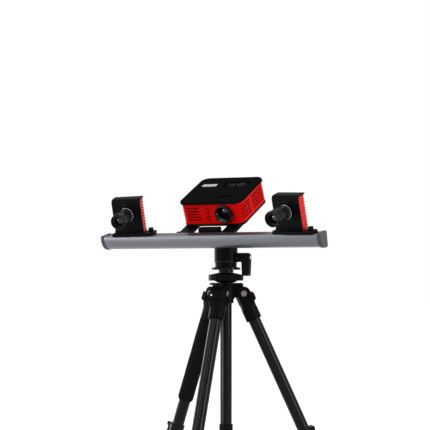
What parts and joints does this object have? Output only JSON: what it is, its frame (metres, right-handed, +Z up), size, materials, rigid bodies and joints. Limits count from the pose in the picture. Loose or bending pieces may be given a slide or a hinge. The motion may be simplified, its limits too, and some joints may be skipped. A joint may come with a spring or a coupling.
{
  "type": "structured light scanner",
  "caption": "Structured light scanner on a folding tripod: a ribbed projector between toed-in cameras that slide along a tilting beam on a ball head.",
  "frame": {"origin": "on the floor, under the middle of the box that holds the whole object", "axes": "+Z up, +X along the beam towards the head's lever, -Y the side the lenses look to"},
  "size_m": [0.53, 0.3793, 0.6666],
  "materials": {
    "anodised_beam": "satin",
    "black_metal": "satin",
    "black_plastic": "satin",
    "dark_cap": "matte",
    "red_shell": "gloss",
    "red_panel": "satin",
    "lens_glass": "coated",
    "black_rubber": "matte",
    "foam": "matte",
    "steel": "satin",
    "board_green": "matte",
    "grey_metal": "satin"
  },
  "bodies": {
    "tripod": {"spider": "black_metal", "leg_pins": "steel"},
    "column": {"column": "black_metal", "column_cap": "black_plastic", "pan_base": "black_metal"},
    "collar": {"lock_collar": "black_metal"},
    "head": {"head_body": "black_metal"},
    "lever": {"clamp_lever": "black_metal"},
    "ball": {"ball": "grey_metal"},
    "beam": {"beam": "anodised_beam", "end_caps": "dark_cap", "carrier": "black_metal", "flange_screws": "steel", "tilt_pin": "steel", "top_plate": "black_metal"},
    "projector": {"projector_stand": "black_metal", "projector_tray": "black_plastic", "projector_shell": "red_shell", "projector_cover": "black_plastic", "lens_bezel": "black_plastic", "light_engine": "grey_metal", "main_board": "board_green", "fan_frame": "black_plastic"},
    "focus": {"focus_barrel": "black_plastic", "projector_lens": "lens_glass"},
    "power_key": {"power_key": "black_plastic"},
    "menu_key": {"menu_key": "black_plastic"},
    "fan": {"fan_rotor": "black_plastic"},
    "left_slider": {"left_slider": "grey_metal"},
    "left_camera": {"left_case": "black_metal", "left_side_panels": "red_panel", "left_camera": "black_metal", "left_lens_barrel": "black_metal", "left_lens_glass": "lens_glass"},
    "left_focus": {"left_focus_ring": "black_metal"},
    "left_knob": {"left_clamp_knob": "black_plastic"},
    "right_slider": {"right_slider": "grey_metal"},
    "right_camera": {"right_case": "black_metal", "right_side_panels": "red_panel", "right_camera": "black_metal", "right_lens_barrel": "black_metal", "right_lens_glass": "lens_glass"},
    "right_focus": {"right_focus_ring": "black_metal"},
    "right_knob": {"right_clamp_knob": "black_plastic"},
    "front_leg": {"front_leg_top": "black_metal", "front_leg_tube": "black_metal"},
    "front_lower_leg": {"front_inner_tube": "black_metal", "front_foot": "black_rubber"},
    "front_lock": {"front_lock_lever": "black_plastic"},
    "right_leg": {"right_leg_top": "black_metal", "right_leg_tube": "black_metal"},
    "right_lower_leg": {"right_inner_tube": "black_metal", "right_foot": "black_rubber"},
    "right_lock": {"right_lock_lever": "black_plastic"},
    "left_leg": {"left_leg_top": "black_metal", "left_leg_tube": "black_metal", "foam_grip": "foam"},
    "left_lower_leg": {"left_inner_tube": "black_metal", "left_foot": "black_rubber"},
    "left_lock": {"left_lock_lever": "black_plastic"}
  },
  "joints": [
    {"name": "column_lift", "type": "slide", "parent": "tripod", "child": "column", "axis": [0, 0, 1], "range_m": [0, 0.24]},
    {"name": "collar_turn", "type": "hinge", "parent": "tripod", "child": "collar", "pos_m": [0, 0.04577, 0.4288], "axis": [0, 0, 1], "range_deg": [0, 60]},
    {"name": "head_pan", "type": "hinge", "parent": "column", "child": "head", "pos_m": [0, 0.04577, 0.4732], "axis": [0, 0, 1], "continuous": true},
    {"name": "head_lever", "type": "hinge", "parent": "head", "child": "lever", "pos_m": [0.0255, 0.04577, 0.4842], "axis": [1, 0, 0], "range_deg": [-60, 30]},
    {"name": "ball_tilt", "type": "hinge", "parent": "head", "child": "ball", "pos_m": [0, 0.04577, 0.5002], "axis": [1, 0, 0], "range_deg": [-28, 8]},
    {"name": "ball_roll", "type": "hinge", "parent": "ball", "child": "beam", "pos_m": [0, 0.04577, 0.5002], "axis": [0, 0.9763, 0.2164], "range_deg": [-15, 15]},
    {"name": "projector_tilt", "type": "hinge", "parent": "beam", "child": "projector", "pos_m": [-0.0215, 0.00669, 0.53507], "axis": [1, 0, 0], "range_deg": [-13.5, 14]},
    {"name": "projector_focus", "type": "hinge", "parent": "projector", "child": "focus", "pos_m": [0.0105, 0.01608, 0.5797], "axis": [0, -0.8988, -0.4384], "range_deg": [-45, 45]},
    {"name": "power_key_press", "type": "slide", "parent": "projector", "child": "power_key", "axis": [0, 0.4384, -0.8988], "range_m": [0, 0.0008], "stiffness_N_per_m": 400, "springref_m": -0.0004},
    {"name": "menu_key_press", "type": "slide", "parent": "projector", "child": "menu_key", "axis": [0, 0.4384, -0.8988], "range_m": [0, 0.0008], "stiffness_N_per_m": 400, "springref_m": -0.0004},
    {"name": "fan_spin", "type": "hinge", "parent": "projector", "child": "fan", "pos_m": [-0.0826, 0.05063, 0.59099], "axis": [1, 0, 0], "continuous": true},
    {"name": "left_camera_slide", "type": "slide", "parent": "beam", "child": "left_slider", "axis": [1, 0, 0], "range_m": [-0.02, 0.033]},
    {"name": "left_camera_turn", "type": "hinge", "parent": "left_slider", "child": "left_camera", "pos_m": [-0.195, -0.02988, 0.53464], "axis": [0, -0.2164, 0.9763], "range_deg": [-12, 12]},
    {"name": "left_focus_turn", "type": "hinge", "parent": "left_camera", "child": "left_focus", "pos_m": [-0.18723, -0.0875, 0.56799], "axis": [0.1556, -0.9364, -0.3147], "range_deg": [-60, 60]},
    {"name": "left_knob_turn", "type": "hinge", "parent": "left_camera", "child": "left_knob", "pos_m": [-0.14957, -0.02416, 0.54206], "axis": [0, -0.2164, 0.9763], "continuous": true},
    {"name": "right_camera_slide", "type": "slide", "parent": "beam", "child": "right_slider", "axis": [1, 0, 0], "range_m": [-0.08, 0.005]},
    {"name": "right_camera_turn", "type": "hinge", "parent": "right_slider", "child": "right_camera", "pos_m": [0.195, -0.02988, 0.53464], "axis": [0, -0.2164, 0.9763], "range_deg": [-12, 12]},
    {"name": "right_focus_turn", "type": "hinge", "parent": "right_camera", "child": "right_focus", "pos_m": [0.18723, -0.0875, 0.56799], "axis": [-0.1556, -0.9364, -0.3147], "range_deg": [-60, 60]},
    {"name": "right_knob_turn", "type": "hinge", "parent": "right_camera", "child": "right_knob", "pos_m": [0.24043, -0.03821, 0.53894], "axis": [0, -0.2164, 0.9763], "continuous": true},
    {"name": "front_leg_fold", "type": "hinge", "parent": "tripod", "child": "front_leg", "pos_m": [0.00361, 0.00894, 0.405], "axis": [0.9952, 0.0976, 0], "range_deg": [0, 22]},
    {"name": "front_leg_extend", "type": "slide", "parent": "front_leg", "child": "front_lower_leg", "axis": [0.0405, -0.4127, -0.91], "range_m": [-0.06, 0.16]},
    {"name": "front_lock_open", "type": "hinge", "parent": "front_leg", "child": "front_lock", "pos_m": [0.01888, -0.14684, 0.10928], "axis": [-0.9952, -0.0976, 0], "range_deg": [0, 95]},
    {"name": "right_leg_fold", "type": "hinge", "parent": "tripod", "child": "right_leg", "pos_m": [0.03009, 0.0673, 0.405], "axis": [-0.5821, 0.8131, 0], "range_deg": [0, 22]},
    {"name": "right_leg_extend", "type": "slide", "parent": "right_leg", "child": "right_lower_leg", "axis": [0.3372, 0.2414, -0.91], "range_m": [-0.06, 0.16]},
    {"name": "right_lock_open", "type": "hinge", "parent": "right_leg", "child": "right_lock", "pos_m": [0.15735, 0.15842, 0.10928], "axis": [0.5821, -0.8131, 0], "range_deg": [0, 95]},
    {"name": "left_leg_fold", "type": "hinge", "parent": "tripod", "child": "left_leg", "pos_m": [-0.0337, 0.06105, 0.405], "axis": [-0.4131, -0.9107, 0], "range_deg": [0, 22]},
    {"name": "left_leg_extend", "type": "slide", "parent": "left_leg", "child": "left_lower_leg", "axis": [-0.3777, 0.1713, -0.91], "range_m": [-0.06, 0.16]},
    {"name": "left_lock_open", "type": "hinge", "parent": "left_leg", "child": "left_lock", "pos_m": [-0.17624, 0.12571, 0.10928], "axis": [0.4131, 0.9107, 0], "range_deg": [0, 95]}
  ]
}
